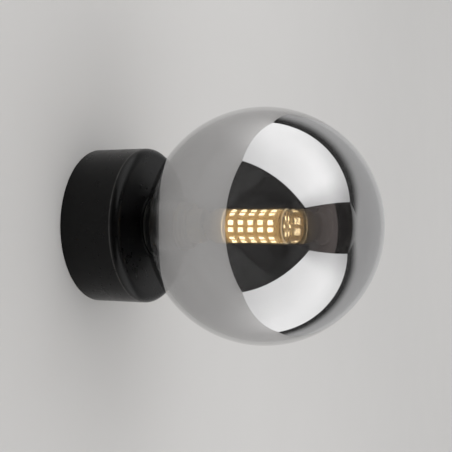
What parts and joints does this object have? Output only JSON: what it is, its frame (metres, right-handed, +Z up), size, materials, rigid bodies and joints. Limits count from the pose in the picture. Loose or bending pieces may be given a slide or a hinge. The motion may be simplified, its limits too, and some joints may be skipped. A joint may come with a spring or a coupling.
{
  "type": "globe wall sconce",
  "caption": "Wall light with a black round canopy, a smoked glass globe that screws onto the lampholder and a pull-out pin lamp inside it.",
  "frame": {"origin": "where the lamp's axis meets the wall plane, at the middle of the wall slots", "axes": "+Z up, +Y into the wall, so the lamp stands out along -Y; +X to the right of someone facing the wall"},
  "size_m": [0.12, 0.1543, 0.12],
  "materials": {
    "black_steel": "matte black powder coat",
    "zinc_steel": "zinc plated",
    "nickel_brass": "nickel plated",
    "brass": "plain",
    "spring_bronze": "plain",
    "black_rubber": "matte",
    "clear_silicone": "satin",
    "white_plastic": "satin",
    "terminal_plastic": "satin",
    "ceramic": "glazed ceramic",
    "smoked_glass": "smoked, partly mirrored",
    "clear_cover": "clear",
    "led_board": "satin",
    "led_chip": "phosphor",
    "brown_insulation": "satin",
    "blue_insulation": "satin",
    "earth_insulation": "satin"
  },
  "bodies": {
    "base": {"canopy": "black_steel", "wall_bracket": "zinc_steel", "side_screws": "zinc_steel", "cable_grommet": "black_rubber", "nipple": "nickel_brass", "inner_nut": "zinc_steel", "inner_washer": "zinc_steel", "outer_nut": "zinc_steel", "threaded_sleeve": "white_plastic", "retaining_ring": "white_plastic", "holder_body": "ceramic", "contact_clips": "spring_bronze", "terminal_housing": "terminal_plastic", "terminal_tubes": "brass", "clamp_screws": "zinc_steel", "block_screws": "zinc_steel", "earth_screw": "zinc_steel", "earth_washer": "zinc_steel", "earth_tag": "brass", "live_wire": "brown_insulation", "neutral_wire": "blue_insulation", "earth_wire": "earth_insulation"},
    "gasket": {"seat_gasket": "clear_silicone"},
    "globe": {"glass_globe": "smoked_glass"},
    "lamp": {"lamp_pins": "nickel_brass", "lamp_base": "ceramic", "led_core": "led_board", "side_chips": "led_chip", "end_board": "led_board", "end_chips": "led_chip", "lamp_cover": "clear_cover"}
  },
  "joints": [
    {"name": "globe_travel", "type": "slide", "parent": "base", "child": "gasket", "axis": [0, -1, 0], "range_m": [0, 0.01]},
    {"name": "globe_turn", "type": "hinge", "parent": "gasket", "child": "globe", "pos_m": [0, -0.0943, 0], "axis": [0, -1, 0], "range_deg": [0, 1440]},
    {"name": "lamp_pull", "type": "slide", "parent": "base", "child": "lamp", "axis": [0, -1, 0], "range_m": [0, 0.012]}
  ],
  "couplings": [
    {"joint": "globe_travel", "follows": "globe_turn", "m_per_rad": 0.00039789}
  ]
}
